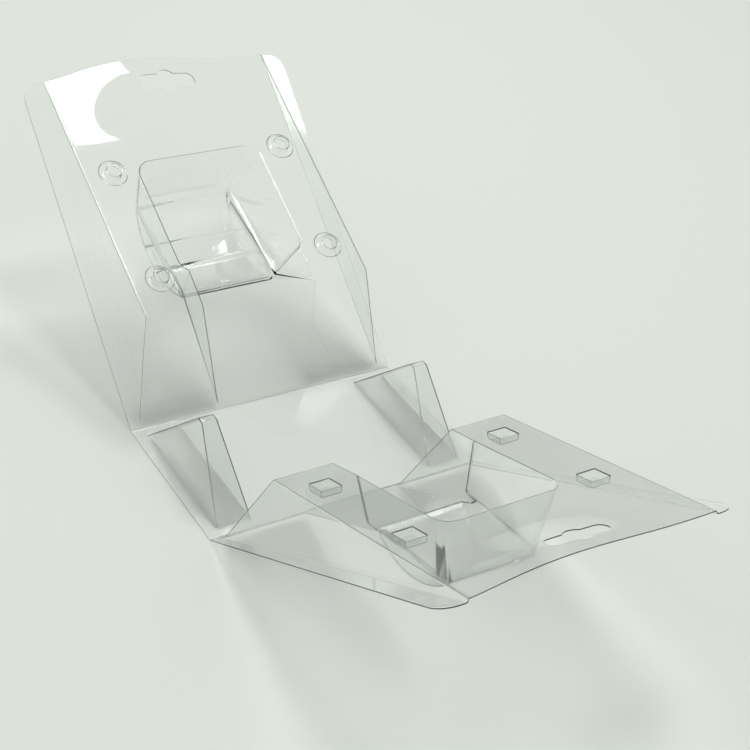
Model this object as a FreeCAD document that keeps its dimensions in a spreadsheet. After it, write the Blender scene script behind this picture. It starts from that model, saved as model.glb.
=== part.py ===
import FreeCAD, Part
import os
import Sketcher
from FreeCAD import Placement, Rotation, Vector

# Clear thermoformed tri-fold clamshell pack, in millimetres, +Z up.
# One film runs through three panels: a base that stands on the table between two folding halves.
# The origin is the middle of the base panel's underside. X runs along the two living hinges.
# A half is drawn flat: X along its hinge, Y up the panel from the hinge, Z towards the product.

doc = FreeCAD.newDocument("clamshell")
sheet = doc.addObject("Spreadsheet::Sheet", "Sizes")

DRIVING = {
    "film": 0.5,
    "width": 150.0,
    "panel_height": 182.0,
    "base_depth": 80.0,
    "rear_lean": 36.7,
    "front_lean": 33.6,
    "hinge_gap": 0.6,
    "bead_radius": 0.4,
    "corner_radius": 9.0,
    # raised frame of a half
    "face_angle": 12.21,
    "middle_gap": 0.2,
    "lead_y": 47.0,
    "wall_draft": 42.8,
    "crease_inset": 12.0,
    "flank_draft": 9.3,
    # product pocket
    "rear_rim_inset": 40.5,
    "rear_rim_high": 129.2,
    "rear_end_draft": 5.7,
    "rear_floor_depth": 17.3,
    "front_rim_inset": 43.6,
    "front_rim_high": 126.5,
    "front_end_draft": 13.0,
    "front_floor_depth": 16.0,
    "rim_low": 65.0,
    "rim_corner": 8.0,
    "side_draft": 11.0,
    "floor_low": 58.5,
    "floor_low_height": 4.0,
    "belly_radius": 41.0,
    "belly_step": 8.3,
    # notch between the pocket and the hinge
    "notch_inset": 49.0,
    "notch_draft": 11.3,
    # snaps
    "snap_inset": 27.0,
    "snap_low": 65.0,
    "snap_high": 125.5,
    "seat_radius": 7.0,
    "seat_depth": 0.5,
    "stud_radius": 4.6,
    "stud_tip_radius": 4.2,
    "stud_height": 2.8,
    "socket_side": 10.0,
    "socket_draft": 5.0,
    "socket_depth": 3.4,
    # hang slot
    "slot_y": 169.0,
    "slot_length": 32.0,
    "slot_height": 8.0,
    "slot_bump_radius": 6.0,
    # end blocks of the base
    "block_inset": 15.5,
    "block_foot_half": 9.1,
    "block_foot_y": 4.6,
    "block_height": 36.6,
    "block_draft": 8.1,
    "ridge_width": 2.6,
    "ridge_round": 0.9,
}

for row, (alias, value) in enumerate(DRIVING.items(), start=1):
    sheet.set(f"A{row}", alias)
    sheet.set(f"B{row}", str(value))
    sheet.setAlias(f"B{row}", alias)
doc.recompute()

# Working margins of the cutting shapes, none of them a size of the pack.
DIG = 6.0
SPARE = 5.0
REACH = 60.0

# Rectangle a sketch starts from, before its measures are tied to the sheet.
START_HALF, START_LOW, START_HIGH = 20.0, 40.0, 80.0

FACE_HEIGHT = "(Sizes.base_depth / 2 - Sizes.middle_gap) / cos(Sizes.face_angle)"


def size(alias):
    """A driving dimension, read back from the sheet."""
    return float(sheet.get(alias))


def face_at(y):
    """Height of the face plane above the flange plane, for a point given up the panel."""
    return f"({FACE_HEIGHT} - tan(Sizes.face_angle) * ({y}))"


def bind(item, bindings):
    """Tie properties of an object to expressions on the sheet."""
    for prop, expression in bindings.items():
        item.setExpression(prop, expression)
    return item


def new_body(name):
    return doc.addObject("PartDesign::Body", name)


def outline(body, name, lift, low, high, width):
    """A rectangle sketched on the ground plane of a body, centred across the pack."""
    sketch = body.newObject("Sketcher::SketchObject", name)
    plane = [item for item in body.Origin.OriginFeatures if item.Role == "XY_Plane"][0]
    sketch.AttachmentSupport = [(plane, "")]
    sketch.MapMode = "FlatFace"
    sketch.setExpression("AttachmentOffset.Base.z", lift)
    corners = [
        Vector(-START_HALF, START_LOW, 0), Vector(START_HALF, START_LOW, 0),
        Vector(START_HALF, START_HIGH, 0), Vector(-START_HALF, START_HIGH, 0)]
    for i in range(4):
        sketch.addGeometry(Part.LineSegment(corners[i], corners[(i + 1) % 4]), False)
    for i in range(4):
        sketch.addConstraint(Sketcher.Constraint("Coincident", i, 2, (i + 1) % 4, 1))
    sketch.addConstraint(Sketcher.Constraint("Symmetric", 0, 1, 0, 2, -2))
    sketch.addConstraint(Sketcher.Constraint("Symmetric", 2, 1, 2, 2, -2))
    sketch.addConstraint(Sketcher.Constraint("Vertical", 1))
    measures = [
        ("width", Sketcher.Constraint("DistanceX", 0, 1, 0, 2, 2 * START_HALF), width),
        ("low", Sketcher.Constraint("DistanceY", -1, 1, 0, 1, START_LOW), low),
        ("high", Sketcher.Constraint("DistanceY", -1, 1, 2, 1, START_HIGH), high),
    ]
    for label, constraint, expression in measures:
        index = sketch.addConstraint(constraint)
        sketch.renameConstraint(index, label)
        sketch.setExpression(f"Constraints.{label}", expression)
    return sketch


def wedge(name, height, bottom, top):
    """A body with flat drafted sides; each end is (half width, low, high) up the panel."""
    body = new_body(name)
    solid = body.newObject("PartDesign::AdditiveWedge", name + "_walls")
    half, low, high = bottom
    top_half, top_low, top_high = top
    bind(solid, {
        "Ymin": "0", "Ymax": height,
        "Xmin": f"-({half})", "Xmax": half,
        "Zmin": f"-({high})", "Zmax": f"-({low})",
        "X2min": f"-({top_half})", "X2max": top_half,
        "Z2min": f"-({top_high})", "Z2max": f"-({top_low})",
    })
    return body


def stand(body, angle, x, y, z):
    """Turn a wedge so its height points up at an angle to the panel, and set it down."""
    body.Placement = Placement(Vector(), Rotation(Vector(1, 0, 0), 1))
    return bind(body, {
        "Placement.Rotation.Angle": angle,
        "Placement.Base.x": x, "Placement.Base.y": y, "Placement.Base.z": z,
    })


def hang_from_face(body, depth, x, y):
    """Set a wedge of a given depth so that its top lies in the face plane."""
    return stand(
        body, "90 - Sizes.face_angle", x,
        f"{y} - {depth} * sin(Sizes.face_angle)",
        f"{face_at(y)} - {depth} * cos(Sizes.face_angle)")


def round_edges(body, name, radius, chosen):
    """Round the edges of the body's last solid that pass a test."""
    tip = body.Tip
    names = [f"Edge{i}" for i, edge in enumerate(tip.Shape.Edges, start=1) if chosen(edge)]
    fillet = body.newObject("PartDesign::Fillet", name)
    fillet.Base = (tip, names)
    fillet.setExpression("Radius", radius)
    doc.recompute()
    return fillet


def fuse(name, items):
    joined = doc.addObject("Part::MultiFuse", name)
    joined.Shapes = items
    joined.Refine = True
    return joined


def cut(name, base, tool):
    result = doc.addObject("Part::Cut", name)
    result.Base = base
    result.Tool = tool
    return result


def common(name, items):
    result = doc.addObject("Part::MultiCommon", name)
    result.Shapes = items
    return result


def skin(name, source, distance):
    """The other side of the film: the same form moved along its normals."""
    other = doc.addObject("Part::Offset", name)
    other.Source = source
    other.Mode = "Skin"
    other.Join = "Intersection"
    other.setExpression("Value", distance)
    return other


def block(name, bindings):
    return bind(doc.addObject("Part::Box", name), bindings)


def raised_form(prefix):
    """Solid whose upper skin is the frame: face plane, two flanks and the lower wall."""
    half = "(Sizes.width / 2 - Sizes.crease_inset)"
    length = f"((Sizes.panel_height - Sizes.lead_y + {SPARE}) / cos(Sizes.face_angle))"
    body = wedge(
        prefix + "_raised", f"{REACH}",
        (f"{half} + {REACH} * tan(Sizes.flank_draft)", f"-{REACH} * tan(Sizes.wall_draft)",
         f"{length} + {SPARE}"),
        (half, "0", length))
    return hang_from_face(body, f"{REACH}", "0", "Sizes.lead_y")


def floor_high(prefix):
    """Where the end wall of the pocket meets its floor, up the panel."""
    rim_high = f"Sizes.{prefix}_rim_high"
    drop = f"({face_at(rim_high)} + Sizes.{prefix}_floor_depth)"
    return f"({rim_high} - tan(Sizes.face_angle + Sizes.{prefix}_end_draft) * {drop})"


def floor_line(prefix):
    """Run, fall and length of the straight pocket floor, as expressions."""
    run = f"({floor_high(prefix)} - Sizes.floor_low)"
    fall = f"(Sizes.floor_low_height + Sizes.{prefix}_floor_depth)"
    return run, fall, f"sqrt({run}^2 + {fall}^2)"


def above_floor(name, prefix, drop):
    """A big box whose underside is the straight pocket floor, lowered by a drop."""
    run, fall, chord = floor_line(prefix)
    slab = doc.addObject("Part::Box", name)
    slab.Placement = Placement(Vector(), Rotation(Vector(1, 0, 0), -1))
    return bind(slab, {
        "Length": "Sizes.width",
        "Width": f"{chord} + 2 * {REACH}",
        "Height": f"{REACH}",
        "Placement.Rotation.Angle": f"-atan({fall} / {run})",
        "Placement.Base.x": "-Sizes.width / 2",
        "Placement.Base.y": f"Sizes.floor_low - ({REACH} * {run} + {drop} * {fall}) / {chord}",
        "Placement.Base.z":
            f"Sizes.floor_low_height + ({REACH} * {fall} - {drop} * {run}) / {chord}",
    })


def belly(name, prefix, grow):
    """Cylinder across the pack whose lower side is the round belly under the floor."""
    run, fall, chord = floor_line(prefix)
    inset = f"(Sizes.{prefix}_rim_inset + Sizes.belly_step - {grow})"
    stand_off = f"sqrt(Sizes.belly_radius^2 - {chord}^2 / 4)"
    barrel = doc.addObject("Part::Cylinder", name)
    barrel.Placement = Placement(Vector(), Rotation(Vector(0, 1, 0), 90))
    return bind(barrel, {
        "Radius": f"Sizes.belly_radius + {grow}",
        "Height": f"Sizes.width - 2 * {inset}",
        "Placement.Base.x": f"{inset} - Sizes.width / 2",
        "Placement.Base.y": f"Sizes.floor_low + {run} / 2 + {stand_off} * {fall} / {chord}",
        "Placement.Base.z":
            f"Sizes.floor_low_height - {fall} / 2 + {stand_off} * {run} / {chord}",
    })


def pocket_form(prefix, name, grow):
    """Drafted cavity from the rim on the face plane down to the floor and its belly."""
    half = f"(Sizes.width / 2 - Sizes.{prefix}_rim_inset + {grow} / cos(Sizes.side_draft))"
    end_draft = f"Sizes.{prefix}_end_draft"
    length = (f"((Sizes.{prefix}_rim_high - Sizes.rim_low) / cos(Sizes.face_angle)"
              f" + {grow} / cos({end_draft}))")
    body = wedge(
        name, f"{REACH}",
        (f"{half} - {REACH} * tan(Sizes.side_draft)", f"-({grow})",
         f"{length} - {REACH} * tan({end_draft})"),
        (half, f"-({grow})", length))
    doc.recompute()
    wider_than_notch = size(f"{prefix}_rim_inset") < size("front_rim_inset")
    corners = is_long_corner if wider_than_notch else is_hang_end_corner
    round_edges(body, name + "_corners", f"Sizes.rim_corner + {grow}", corners)
    hang_from_face(body, f"{REACH}", "0", "Sizes.rim_low")
    room = fuse(name + "_room", [
        above_floor(name + "_above_floor", prefix, grow), belly(name + "_belly", prefix, grow)])
    return common(name + "_cavity", [body, room])


def is_long_corner(edge):
    """The four long corner edges of a pocket, in the wedge's own frame."""
    first, second = [vertex.Point for vertex in edge.Vertexes]
    return abs(first.y - second.y) > REACH / 2


def is_hang_end_corner(edge):
    """The two of those at the hang end."""
    first, second = [vertex.Point for vertex in edge.Vertexes]
    return is_long_corner(edge) and min(first.z, second.z) < -REACH / 2


def notch_form(prefix):
    """Drafted channel that opens the raised frame from the pocket down to the hinge."""
    half = "(Sizes.width / 2 - Sizes.notch_inset)"
    reach = f"Sizes.rim_low + {SPARE} / 2"
    body = wedge(
        prefix + "_notch", f"{REACH}", (half, "Sizes.hinge_gap", reach),
        (f"{half} + {REACH} * tan(Sizes.notch_draft)", "Sizes.hinge_gap", reach))
    return stand(body, "90", "0", "0", "0")


def on_face(item, x, y, lift="0"):
    """Stand an object upright on the face plane at a point given up the panel."""
    item.Placement = Placement(Vector(), Rotation(Vector(1, 0, 0), -1))
    return bind(item, {
        "Placement.Rotation.Angle": "-Sizes.face_angle",
        "Placement.Base.x": x,
        "Placement.Base.y": f"{y} + ({lift}) * sin(Sizes.face_angle)",
        "Placement.Base.z": f"{face_at(y)} + ({lift}) * cos(Sizes.face_angle)",
    })


def snap_points():
    """Name, X and Y of the four snaps of a half."""
    across = "(Sizes.width / 2 - Sizes.snap_inset)"
    points = []
    for y_name in ("low", "high"):
        points.append((f"{y_name}_left", f"-{across}", f"Sizes.snap_{y_name}"))
        points.append((f"{y_name}_right", across, f"Sizes.snap_{y_name}"))
    return points


def stud(prefix, place, x, y):
    """Tapered round stud, and the shallow round seat it rises from."""
    cone = doc.addObject("Part::Cone", f"{prefix}_stud_{place}")
    bind(cone, {
        "Radius1": "Sizes.stud_radius",
        "Radius2": "Sizes.stud_tip_radius",
        "Height": "Sizes.stud_height + 2 * Sizes.film",
    })
    on_face(cone, x, y, "-2 * Sizes.film")
    seat = doc.addObject("Part::Cylinder", f"{prefix}_seat_{place}")
    bind(seat, {"Radius": "Sizes.seat_radius", "Height": f"Sizes.seat_depth + {SPARE}"})
    on_face(seat, x, y, "-Sizes.seat_depth")
    return cone, seat


def socket(prefix, place, x, y):
    """Tapered square socket sunk below the face plane."""
    half = "Sizes.socket_side / 2"
    floor = f"({half} - Sizes.socket_depth * tan(Sizes.socket_draft))"
    body = wedge(
        f"{prefix}_socket_{place}", "Sizes.socket_depth",
        (floor, f"-{floor}", floor), (half, f"-({half})", half))
    return hang_from_face(body, "Sizes.socket_depth", x, y)


def flange(prefix):
    """Flat film of a half, hinge edge to hang end, with rounded outer corners."""
    body = new_body(prefix + "_flange")
    sketch = outline(
        body, prefix + "_flange_outline", "-Sizes.film", "Sizes.hinge_gap",
        "Sizes.panel_height", "Sizes.width")
    pad = body.newObject("PartDesign::Pad", prefix + "_flange_film")
    pad.Profile = sketch
    pad.setExpression("Length", "Sizes.film")
    doc.recompute()
    round_edges(body, prefix + "_flange_corners", "Sizes.corner_radius", is_flange_corner)
    return body


def is_flange_corner(edge):
    """The short upright edges at the hang end of the flange."""
    first, second = [vertex.Point for vertex in edge.Vertexes]
    upright = abs(first.z - second.z) > size("film") / 2
    return upright and first.y > size("panel_height") / 2


def hang_slot(prefix):
    """Long round-ended hole with a round bump for a single hook."""
    parts = []
    straight = "(Sizes.slot_length - Sizes.slot_height)"
    bar = block(prefix + "_slot_bar", {
        "Length": straight, "Width": "Sizes.slot_height", "Height": f"{REACH}",
        "Placement.Base.x": f"-{straight} / 2",
        "Placement.Base.y": "Sizes.slot_y - Sizes.slot_height / 2",
        "Placement.Base.z": f"-{REACH} / 2",
    })
    parts.append(bar)
    for side, sign in (("left", "-"), ("right", "")):
        end = doc.addObject("Part::Cylinder", f"{prefix}_slot_{side}")
        parts.append(bind(end, {
            "Radius": "Sizes.slot_height / 2", "Height": f"{REACH}",
            "Placement.Base.x": f"{sign}{straight} / 2",
            "Placement.Base.y": "Sizes.slot_y",
            "Placement.Base.z": f"-{REACH} / 2",
        }))
    bump = doc.addObject("Part::Cylinder", prefix + "_slot_bump")
    parts.append(bind(bump, {
        "Radius": "Sizes.slot_bump_radius", "Height": f"{REACH}",
        "Placement.Base.y": "Sizes.slot_y",
        "Placement.Base.z": f"-{REACH} / 2",
    }))
    return fuse(prefix + "_slot", parts)


def folded_half(prefix, node, with_studs):
    """One panel of the pack: flange, raised frame, pocket, notch and snaps in one film."""
    raised = raised_form(prefix)
    frame_out = raised
    frame_in = skin(prefix + "_raised_inside", raised, "-Sizes.film")
    pocket = pocket_form(prefix, prefix + "_pocket", "0")
    pocket_back = pocket_form(prefix, prefix + "_pocket_back", "Sizes.film")
    dips = [notch_form(prefix)]
    if with_studs:
        seats, cones = [], []
        for place, x, y in snap_points():
            cone, seat = stud(prefix, place, x, y)
            seats.append(seat)
            cones.append(cone)
        seat_backs = [skin(item.Name + "_back", item, "Sizes.film") for item in seats]
        cone_backs = [skin(item.Name + "_back", item, "-Sizes.film") for item in cones]
        seated = cut(prefix + "_seated", frame_out, fuse(prefix + "_seats", seats))
        frame_out = fuse(prefix + "_studded", [seated] + cones)
        seated_in = cut(prefix + "_seated_in", frame_in, fuse(prefix + "_seat_backs", seat_backs))
        frame_in = fuse(prefix + "_studded_in", [seated_in] + cone_backs)
    else:
        dips += [socket(prefix, place, x, y) for place, x, y in snap_points()]
    dip_backs = [skin(item.Name + "_back", item, "Sizes.film") for item in dips]
    hollow = fuse(prefix + "_hollow", [pocket] + dips)
    backing = fuse(prefix + "_backing", [pocket_back] + dip_backs)
    above = block(prefix + "_above", {
        "Length": "Sizes.width",
        "Width": "Sizes.panel_height - Sizes.hinge_gap",
        "Height": f"{REACH}",
        "Placement.Base.x": "-Sizes.width / 2",
        "Placement.Base.y": "Sizes.hinge_gap",
        "Placement.Base.z": "-Sizes.film",
    })
    below = block(prefix + "_below", {
        "Length": "Sizes.width",
        "Width": "Sizes.panel_height - Sizes.hinge_gap",
        "Height": f"{REACH}",
        "Placement.Base.x": "-Sizes.width / 2",
        "Placement.Base.y": "Sizes.hinge_gap",
        "Placement.Base.z": f"-{REACH} - Sizes.film / 2",
    })
    cup = common(prefix + "_cup", [backing, below])
    blank = fuse(prefix + "_blank", [
        common(prefix + "_frame", [frame_out, above]), flange(prefix), cup])
    opened = cut(prefix + "_opened", blank, fuse(prefix + "_holes", [hollow, hang_slot(prefix)]))
    gutted = cut(prefix + "_under", frame_in, backing)
    result = cut(node, opened, gutted)
    result.Label = node
    return result


def end_block(name, sign, rounded):
    """Solid wedge of one end block, its ridge along X."""
    half_depth = "(Sizes.base_depth / 2 - Sizes.block_foot_y)"
    slope = f"(({half_depth} - Sizes.ridge_width / 2) / Sizes.block_height)"
    foot = f"Sizes.block_foot_half + {DIG} * tan(Sizes.block_draft)"
    dug = f"({half_depth} + {slope} * {DIG})"
    ridge = "Sizes.block_foot_half - Sizes.block_height * tan(Sizes.block_draft)"
    half_ridge = "(Sizes.ridge_width / 2)"
    body = wedge(
        name, f"Sizes.block_height + {DIG}",
        (foot, f"-{dug}", dug), (ridge, f"-{half_ridge}", half_ridge))
    if rounded:
        doc.recompute()
        round_edges(body, name + "_round", "Sizes.ridge_round", is_ridge_edge)
    return stand(body, "90", f"{sign}(Sizes.width / 2 - Sizes.block_inset)", "0", f"-{DIG}")


def is_ridge_edge(edge):
    """Any edge of the small top face of an end block, in the wedge's own frame."""
    lowest = min(vertex.Point.y for vertex in edge.Vertexes)
    return lowest > size("block_height") + DIG / 2


def base_panel():
    """Standing panel: flat film, a bead along each hinge and two hollow end blocks."""
    floor = block("base_floor", {
        "Length": "Sizes.width",
        "Width": "Sizes.base_depth",
        "Height": "Sizes.film",
        "Placement.Base.x": "-Sizes.width / 2",
        "Placement.Base.y": "-Sizes.base_depth / 2",
    })
    beads = []
    for side, sign in (("rear", ""), ("front", "-")):
        bead = doc.addObject("Part::Cylinder", side + "_hinge_bead")
        bead.Placement = Placement(Vector(), Rotation(Vector(0, 1, 0), 90))
        beads.append(bind(bead, {
            "Radius": "Sizes.bead_radius",
            "Height": "Sizes.width",
            "Placement.Base.x": "-Sizes.width / 2",
            "Placement.Base.y": f"{sign}Sizes.base_depth / 2",
            "Placement.Base.z": "Sizes.bead_radius",
        }))
    ends = (("left", "-"), ("right", ""))
    blocks = [end_block(side + "_block", sign, True) for side, sign in ends]
    cores = [end_block(side + "_block_core", sign, False) for side, sign in ends]
    insides = [skin(item.Name + "_inside", item, "-Sizes.film") for item in cores]
    over = block("over_table", {
        "Length": "Sizes.width", "Width": "Sizes.base_depth", "Height": f"{REACH}",
        "Placement.Base.x": "-Sizes.width / 2",
        "Placement.Base.y": "-Sizes.base_depth / 2",
    })
    stood = [common(item.Name + "_stood", [item, over]) for item in blocks]
    blank = fuse("base_blank", [floor] + beads + stood)
    result = cut("base_panel", blank, fuse("block_insides", insides))
    result.Label = "base_panel"
    return result


def put_in_place(half, turn, sign, lean):
    """Stand a half on its hinge, leaning out from the base."""
    hinge = Vector(0, sign * size("base_depth") / 2, size("bead_radius"))
    spin = Rotation(Vector(0, 0, 1), turn)
    half.Placement = Placement(hinge, spin.multiply(Rotation(Vector(1, 0, 0), lean)))


def check(items):
    """Stop on any object that failed or came out empty."""
    for item in items:
        if "Invalid" in item.State or "Error" in item.State:
            raise RuntimeError(f"{item.Label}: {item.State}")
        if item.isDerivedFrom("Part::Feature") and item.Shape.isNull():
            raise RuntimeError(f"{item.Label}: empty shape")


rear = folded_half("rear", "rear_half", with_studs=True)
front = folded_half("front", "front_half", with_studs=False)
base = base_panel()
put_in_place(rear, 0, 1, size("rear_lean"))
put_in_place(front, 180, -1, size("front_lean"))
doc.recompute()
check(doc.Objects)

os.makedirs("parts", exist_ok=True)
for node in (rear, base, front):
    shape = node.Shape
    if not shape.isValid() or len(shape.Solids) != 1:
        raise RuntimeError(f"{node.Label}: {len(shape.Solids)} solids, valid {shape.isValid()}")
    Part.export([node], f"parts/{node.Label}.step")
    box = shape.BoundBox
    print(node.Label, round(shape.Volume, 1), len(shape.Faces), [
        round(v, 2) for v in (box.XMin, box.YMin, box.ZMin, box.XMax, box.YMax, box.ZMax)])
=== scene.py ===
import math

import bmesh
import bpy
from mathutils import Matrix, Vector


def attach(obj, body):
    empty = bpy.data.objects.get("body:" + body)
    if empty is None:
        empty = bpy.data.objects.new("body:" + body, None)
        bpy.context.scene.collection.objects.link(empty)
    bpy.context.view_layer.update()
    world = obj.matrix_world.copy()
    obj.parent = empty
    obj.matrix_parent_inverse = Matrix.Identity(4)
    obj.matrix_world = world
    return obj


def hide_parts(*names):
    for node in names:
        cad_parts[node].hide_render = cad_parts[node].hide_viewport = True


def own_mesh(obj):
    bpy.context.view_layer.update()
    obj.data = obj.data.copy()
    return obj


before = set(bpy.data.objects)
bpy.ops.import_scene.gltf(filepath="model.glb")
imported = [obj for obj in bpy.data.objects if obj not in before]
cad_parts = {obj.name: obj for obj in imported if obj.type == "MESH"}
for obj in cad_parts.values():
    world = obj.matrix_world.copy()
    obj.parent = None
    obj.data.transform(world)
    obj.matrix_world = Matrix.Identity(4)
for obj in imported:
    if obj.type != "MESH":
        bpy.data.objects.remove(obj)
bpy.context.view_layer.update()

MM = 0.001

# Places and leans of the CAD halves, in the row frame.
BASE_HALF = 40 * MM
HINGE_Z = 0.4 * MM
REAR_LEAN = math.radians(36.7)
FRONT_LEAN = math.radians(33.6)

# The face plane of a half: its slope to the flange, and its distance from the closed
# pack's middle plane.
FACE_ANGLE = math.radians(12.21)
MIDDLE_GAP = 0.2 * MM

# Where the film of a half is cut: its hinge end, its outline beyond the outer marks and
# the hang slot above the slot mark.
CAD_FILM = 0.5 * MM
HINGE_GAP = 0.6 * MM
OUTER_X = 60 * MM
OUTER_Y = 160 * MM
SLOT_LOW = 150 * MM

# Tolerances: the distances at which points are merged, cut by a plane or near a face, the
# angle at which faces are joined to one, and the cosines that make a face aligned with an
# axis, part of the face plane, or upright.
MERGE = 0.004 * MM
CUT_NEAR = 1e-7
NEAR = 0.05 * MM
FLAT_MAX = math.radians(0.6)
ALIGNED = 0.9
COPLANAR = 0.999
UPRIGHT_MAX = 0.03

# Rounding of the forming creases. The narrow forms get less than the long creases.
CREASE_MIN = math.radians(24)
ROUND_STEPS = 4
CREASE_ROUND = 0.6 * MM
BLOCK_ROUND = 0.2 * MM
SNAP_ROUNDS = {"rear_half": 0.2 * MM, "front_half": 0.35 * MM}
SNAPS = [(side * 48 * MM, y * MM) for side in (-1, 1) for y in (65, 125.5)]
SNAP_REACH = 8 * MM
FLOOR_DEPTH = -3 * MM
BLOCK_CREASE = 10 * MM
BLOCK_REACH = 39 * MM

# The soft hang end of each half bows, by a height and to a side of its own.
PANEL = 182 * MM
TAB_LOW = 138 * MM
TAB_HALF = 61.5 * MM
TAB_COLUMNS = 28
TAB_ROWS = 11
BOWS = {"rear": (6 * MM, 1), "front": (4 * MM, -1)}
BOW_SKEW = 0.678
BOW_CROWN = 0.4
SEAM_LOW_NEAR = 0.12 * MM
SEAM_SIDE_NEAR = 0.02 * MM

# The shown film.
FILM = 0.45 * MM
SHARP_MIN = math.radians(50)
FLAT_WEIGHT = 100
PLASTIC_IOR = 1.57
FILM_TINT, FILM_ROUGHNESS = (0.985, 0.995, 0.988), 0.04
# The cut edge is coloured darker than the film: painted shade for the dark lines that light
# draws along the cut edges and hinges.
EDGE_PAINTED_SHADE, EDGE_ROUGHNESS = (0.62, 0.67, 0.64), 0.1

# The studio: a wide floor just under the pack, a sky that is dimmer towards the horizon,
# and lights, each with its place, aim, width and height in metres, power in watts and the
# rays that it is hidden from.
FLOOR_SIZE = 12
FLOOR_Z = -0.2 * MM
FLOOR_TINT, FLOOR_ROUGHNESS = (0.80, 0.82, 0.78), 0.6
HORIZON, HORIZON_TOP = (0.42, 0.44, 0.42), 0.16
ZENITH, ZENITH_LOW = (0.91, 0.95, 0.91), 0.70
SKY_STRENGTH = 0.72
LIGHTS = {
    "window": ((0.26, 0.28, 1.67), (-0.05, 0.17, 0.09), 0.54, 0.58, 14, "diffuse"),
    "side_window": ((0.90, -0.22, 1.41), (0.07, 0.17, 0.10), 0.10, 0.24, 0.32, "diffuse"),
    "overhead": ((0.16, 0.16, 1.60), (0, 0, 0.05), 0.36, 0.36, 4.6, "glossy"),
    "key": ((0.50, 0.84, 1.45), (0, -0.05, 0.05), 0.36, 0.36, 4.8, None),
}

# The camera, solved from the photograph's hinge lines and panel edges.
CAMERA_PLACE = (-0.385792, -0.489884, 0.519229)
CAMERA_RIGHT = Vector((0.827237878, -0.533147604, 0.177288257))
CAMERA_DOWN = Vector((-0.211783882, -0.588155547, -0.780525874))
CAMERA_AHEAD = Vector((0.520408571, 0.608133772, -0.599456616))
FOCAL_PIXELS = 1649.88
PHOTO_PIXELS = 750
SENSOR_MM = 36
CLIP_START = 0.01


def half_frame(turn, side, lean):
    """Matrix from a half's own flat frame to the row frame."""
    place = Matrix.Translation(Vector((0, side * BASE_HALF, HINGE_Z)))
    return place @ Matrix.Rotation(turn, 4, "Z") @ Matrix.Rotation(lean, 4, "X")


FRAMES = {
    "rear_half": half_frame(0, 1, REAR_LEAN),
    "front_half": half_frame(math.pi, -1, FRONT_LEAN),
    "base_panel": Matrix.Identity(4),
}


def face_plane():
    """A point and the normal of a half's face plane, in its own flat frame."""
    reach = (BASE_HALF - MIDDLE_GAP) / math.cos(FACE_ANGLE)
    return Vector((0, 0, reach)), Vector((0, math.sin(FACE_ANGLE), math.cos(FACE_ANGLE)))


def on_face_plane(face):
    """Does this face lie in the face plane of its half?"""
    point, normal = face_plane()
    near = abs((face.calc_center_median() - point).dot(normal)) < NEAR
    return near and face.normal.dot(normal) > COPLANAR


def is_cut_edge(face):
    """Is this face on the cut edge of a half: its outline, hinge end or hang slot?"""
    middle = face.calc_center_median()
    upright = abs(face.normal.z) < UPRIGHT_MAX
    outer = max(abs(middle.x) - OUTER_X, middle.y - OUTER_Y) > 0
    outline = upright and outer and -CAD_FILM < middle.z < 0
    slot = upright and middle.y > SLOT_LOW
    hinge = middle.y < HINGE_GAP + NEAR and face.normal.y < -ALIGNED
    return outline or slot or hinge


def product_side(mesh):
    """The faces joined to the face plane without crossing the cut edge."""
    start = max(mesh.faces, key=lambda face: face.calc_area() * on_face_plane(face))
    found, waiting = {start}, [start]
    while waiting:
        for edge in waiting.pop().edges:
            for face in edge.link_faces:
                if face not in found and not is_cut_edge(face):
                    found.add(face)
                    waiting.append(face)
    return found


def upper_skin(node, to_row):
    """The product side of a CAD node's film, in the node's own flat frame."""
    mesh = bmesh.new()
    mesh.from_mesh(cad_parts[node].data)
    mesh.transform(to_row.inverted())
    bmesh.ops.remove_doubles(mesh, verts=mesh.verts, dist=MERGE)
    mesh.normal_update()
    if node == "base_panel":
        kept = {face for face in mesh.faces if face.normal.z > UPRIGHT_MAX}
    else:
        kept = product_side(mesh)
    hidden = [face for face in mesh.faces if face not in kept]
    bmesh.ops.delete(mesh, geom=hidden, context="FACES")
    bmesh.ops.dissolve_limit(
        mesh, angle_limit=FLAT_MAX, verts=mesh.verts, edges=mesh.edges)
    mesh.normal_update()
    return mesh


def is_by_a_snap(edge):
    """Is this edge part of a stud, its seat or a socket?"""
    middle = (edge.verts[0].co + edge.verts[1].co) / 2
    return any(max(abs(middle.x - x), abs(middle.y - y)) < SNAP_REACH for x, y in SNAPS)


def is_above_floor(edge):
    """Is this edge clear of the snaps and of the narrow forms of the pocket floor?"""
    return not is_by_a_snap(edge) and min(vert.co.z for vert in edge.verts) > FLOOR_DEPTH


def is_on_a_block(edge):
    """Is this a long crease of an end block, clear of the hinges?"""
    reach = max(abs(vert.co.y) for vert in edge.verts)
    return edge.calc_length() > BLOCK_CREASE and reach < BLOCK_REACH


def round_edges(mesh, chosen, radius):
    """Round the forming creases that pass a test, which catch the light as fine lines."""
    creases = [
        edge for edge in mesh.edges
        if len(edge.link_faces) == 2 and edge.calc_face_angle(0) > CREASE_MIN
        and chosen(edge)]
    bmesh.ops.bevel(
        mesh, geom=creases, offset=radius, offset_type="OFFSET", segments=ROUND_STEPS,
        profile=0.5, affect="EDGES", clamp_overlap=False)
    mesh.normal_update()


def round_creases(mesh, node):
    """Round the creases of a panel; the fine forms get a smaller radius."""
    if node == "base_panel":
        round_edges(mesh, is_on_a_block, BLOCK_ROUND)
    else:
        round_edges(mesh, is_by_a_snap, SNAP_ROUNDS[node])
        round_edges(mesh, is_above_floor, CREASE_ROUND)


def slice_faces(mesh, chosen, point, normal):
    """Cut some faces of a mesh along a plane, leaving the rest alone."""
    faces = [face for face in mesh.faces if chosen(face)]
    edges = {edge for face in faces for edge in face.edges}
    verts = {vert for face in faces for vert in face.verts}
    bmesh.ops.bisect_plane(
        mesh, geom=[*verts, *edges, *faces], dist=CUT_NEAR, plane_co=point, plane_no=normal)


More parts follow.
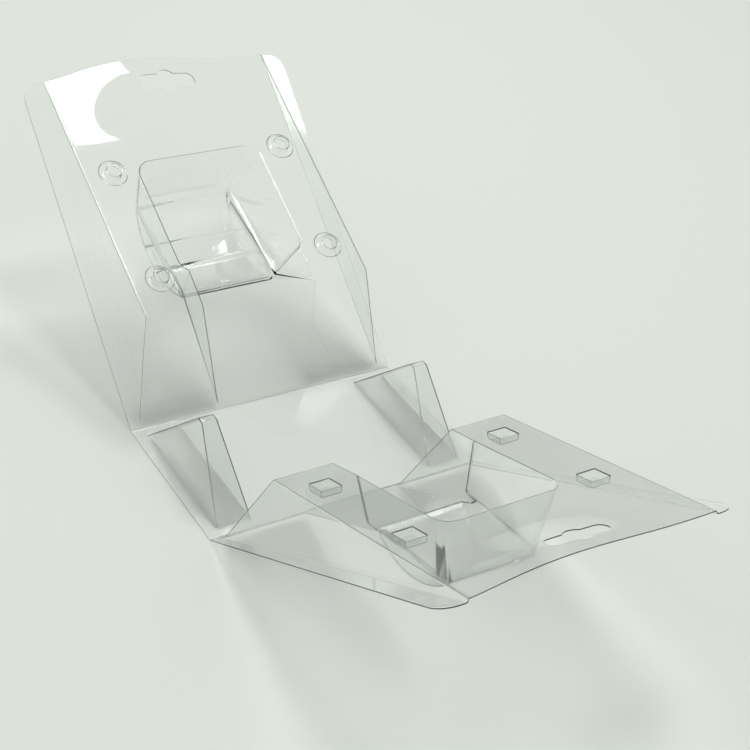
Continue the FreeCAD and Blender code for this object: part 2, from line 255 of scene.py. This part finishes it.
def above_tab_low(face):
    """Is this face in the part of the face plane near the hang end?"""
    return on_face_plane(face) and face.calc_center_median().y > TAB_LOW


def in_tab(face):
    """Is this face in the part near the hang end that bows?"""
    return above_tab_low(face) and abs(face.calc_center_median().x) < TAB_HALF


def split_tab(mesh):
    """Move the bowing part of the face plane into a mesh of its own."""
    slice_faces(mesh, on_face_plane, (0, TAB_LOW, 0), (0, 1, 0))
    for side in (-1, 1):
        slice_faces(mesh, above_tab_low, (side * TAB_HALF, 0, 0), (1, 0, 0))
    tab = mesh.copy()
    bmesh.ops.delete(mesh, geom=[f for f in mesh.faces if in_tab(f)], context="FACES")
    bmesh.ops.delete(tab, geom=[f for f in tab.faces if not in_tab(f)], context="FACES")
    return tab


def bow(x, y, height):
    """Rise of the bowed film near the hang end; the bow peaks left of the middle."""
    across = min(max((x + TAB_HALF) / (2 * TAB_HALF), 0), 1)
    along = min(max((y - TAB_LOW) / (PANEL - TAB_LOW), 0), 1)
    peak = math.sin(math.pi * across ** BOW_SKEW) ** 2
    return height * peak * along * along * (3 - 2 * along)


def bow_tab(tab, height, mirror):
    """Divide the tab finely and bow it towards the product."""
    for i in range(1, TAB_COLUMNS):
        x = TAB_HALF * (2 * i / TAB_COLUMNS - 1)
        slice_faces(tab, lambda face: True, (x, 0, 0), (1, 0, 0))
    for i in range(1, TAB_ROWS):
        y = TAB_LOW + (PANEL - TAB_LOW) * i / TAB_ROWS
        slice_faces(tab, lambda face: True, (0, y, 0), (0, 1, 0))
    _, normal = face_plane()
    for vert in tab.verts:
        rise = bow(vert.co.x * mirror, vert.co.y, height)
        vert.co += normal * rise + Vector((0, BOW_CROWN * rise, 0))


def drop_seam(mesh):
    """Remove the rim walls on the seam between the tab and the rest of the half."""
    def on_seam(face):
        co = [vert.co for vert in face.verts]
        low = all(abs(c.y - TAB_LOW) < SEAM_LOW_NEAR for c in co)
        side = all(abs(abs(c.x) - TAB_HALF) < SEAM_SIDE_NEAR for c in co)
        return (low and abs(face.normal.y) > ALIGNED
                or side and abs(face.normal.x) > ALIGNED and co[0].y > TAB_LOW - MM)
    bmesh.ops.delete(mesh, geom=[f for f in mesh.faces if on_seam(f)], context="FACES")


def thicken(piece):
    """A mesh of the piece's skin, made as thick as the film away from the product."""
    solid = piece.modifiers.new("film", "SOLIDIFY")
    solid.thickness = FILM
    solid.offset = -1
    solid.material_offset_rim = 1
    thick = bpy.data.meshes.new_from_object(
        piece.evaluated_get(bpy.context.evaluated_depsgraph_get()))
    piece.modifiers.clear()
    return thick


def shown(name, mesh, to_row, materials, body, seamed):
    """Turn a skin in a panel's own frame into a thick, shaded piece on its body."""
    data = bpy.data.meshes.new(name)
    mesh.to_mesh(data)
    mesh.free()
    for material in materials:
        data.materials.append(material)
    piece = bpy.data.objects.new(name, data)
    bpy.context.scene.collection.objects.link(piece)
    thick = thicken(piece)
    done = bmesh.new()
    done.from_mesh(thick)
    if seamed:
        drop_seam(done)
    done.transform(to_row)
    done.to_mesh(data)
    done.free()
    bpy.data.meshes.remove(thick)
    for polygon in data.polygons:
        polygon.use_smooth = True
    data.set_sharp_from_angle(angle=SHARP_MIN)
    flat = piece.modifiers.new("flat_panels", "WEIGHTED_NORMAL")
    flat.weight = FLAT_WEIGHT
    flat.keep_sharp = True
    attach(piece, body)
    return piece


def film_piece(name, node, body, materials):
    """A shown film that stands for a CAD node."""
    to_row = FRAMES[node]
    mesh = upper_skin(node, to_row)
    round_creases(mesh, node)
    if body in BOWS:
        height, mirror = BOWS[body]
        tab = split_tab(mesh)
        bow_tab(tab, height, mirror)
        end = shown(name + "_end", tab, to_row, materials, body, True)
        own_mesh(end)
    piece = shown(name, mesh, to_row, materials, body, body in BOWS)
    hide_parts(node)
    return piece


def plain(name, color, roughness):
    """A matt or glossy material of one colour."""
    material = bpy.data.materials.new(name)
    material.use_nodes = True
    shader = material.node_tree.nodes["Principled BSDF"]
    shader.inputs["Base Color"].default_value = (*color, 1)
    shader.inputs["Roughness"].default_value = roughness
    return material


def clear_plastic(name, color, roughness):
    """Clear glossy plastic of a given colour: a faint tint for the film, darker painted
    shade for the cut edge.
    """
    material = plain(name, color, roughness)
    shader = material.node_tree.nodes["Principled BSDF"]
    shader.inputs["IOR"].default_value = PLASTIC_IOR
    shader.inputs["Transmission Weight"].default_value = 1.0
    return material


def set_floor():
    """A plain table top for the pack to stand on."""
    bpy.ops.mesh.primitive_plane_add(size=FLOOR_SIZE, location=(0, 0, FLOOR_Z))
    floor = bpy.context.object
    floor.name = "floor"
    floor.data.materials.append(plain("floor", FLOOR_TINT, FLOOR_ROUGHNESS))


def area_light(name, place, target, width, height, power, hidden_from):
    """A rectangular light that faces its target."""
    data = bpy.data.lights.new(name, "AREA")
    data.shape = "RECTANGLE"
    data.size = width
    data.size_y = height
    data.energy = power
    lamp = bpy.data.objects.new(name, data)
    lamp.location = place
    aim = Vector(target) - Vector(place)
    lamp.rotation_euler = aim.to_track_quat("-Z", "Y").to_euler()
    lamp.visible_diffuse = hidden_from != "diffuse"
    lamp.visible_glossy = hidden_from != "glossy"
    bpy.context.scene.collection.objects.link(lamp)


def set_world():
    """Even studio light that is dimmer towards the horizon."""
    world = bpy.data.worlds.new("studio")
    world.use_nodes = True
    nodes, links = world.node_tree.nodes, world.node_tree.links
    back = nodes["Background"]
    back.inputs["Strength"].default_value = SKY_STRENGTH
    where = nodes.new("ShaderNodeTexCoord")
    split = nodes.new("ShaderNodeSeparateXYZ")
    ramp = nodes.new("ShaderNodeValToRGB")
    low, high = ramp.color_ramp.elements
    low.position, low.color = HORIZON_TOP, (*HORIZON, 1)
    high.position, high.color = ZENITH_LOW, (*ZENITH, 1)
    links.new(where.outputs["Generated"], split.inputs[0])
    links.new(split.outputs["Z"], ramp.inputs[0])
    links.new(ramp.outputs[0], back.inputs["Color"])
    bpy.context.scene.world = world


def set_camera():
    """The photograph's camera."""
    turn = Matrix((CAMERA_RIGHT, -CAMERA_DOWN, -CAMERA_AHEAD)).transposed().to_4x4()
    data = bpy.data.cameras.new("camera")
    data.sensor_width = SENSOR_MM
    data.lens = SENSOR_MM * FOCAL_PIXELS / PHOTO_PIXELS
    data.clip_start = CLIP_START
    camera = bpy.data.objects.new("camera", data)
    camera.matrix_world = Matrix.Translation(CAMERA_PLACE) @ turn
    bpy.context.scene.collection.objects.link(camera)
    bpy.context.scene.camera = camera


film = [
    clear_plastic("clear_film", FILM_TINT, FILM_ROUGHNESS),
    clear_plastic("cut_edge_painted_shade", EDGE_PAINTED_SHADE, EDGE_ROUGHNESS),
]
film_piece("rear_film", "rear_half", "rear", film)
film_piece("front_film", "front_half", "front", film)
film_piece("base_film", "base_panel", "base", film)
set_floor()
set_world()
for name, light in LIGHTS.items():
    area_light(name, *light)
set_camera()

bpy.context.scene.view_settings.view_transform = "Standard"
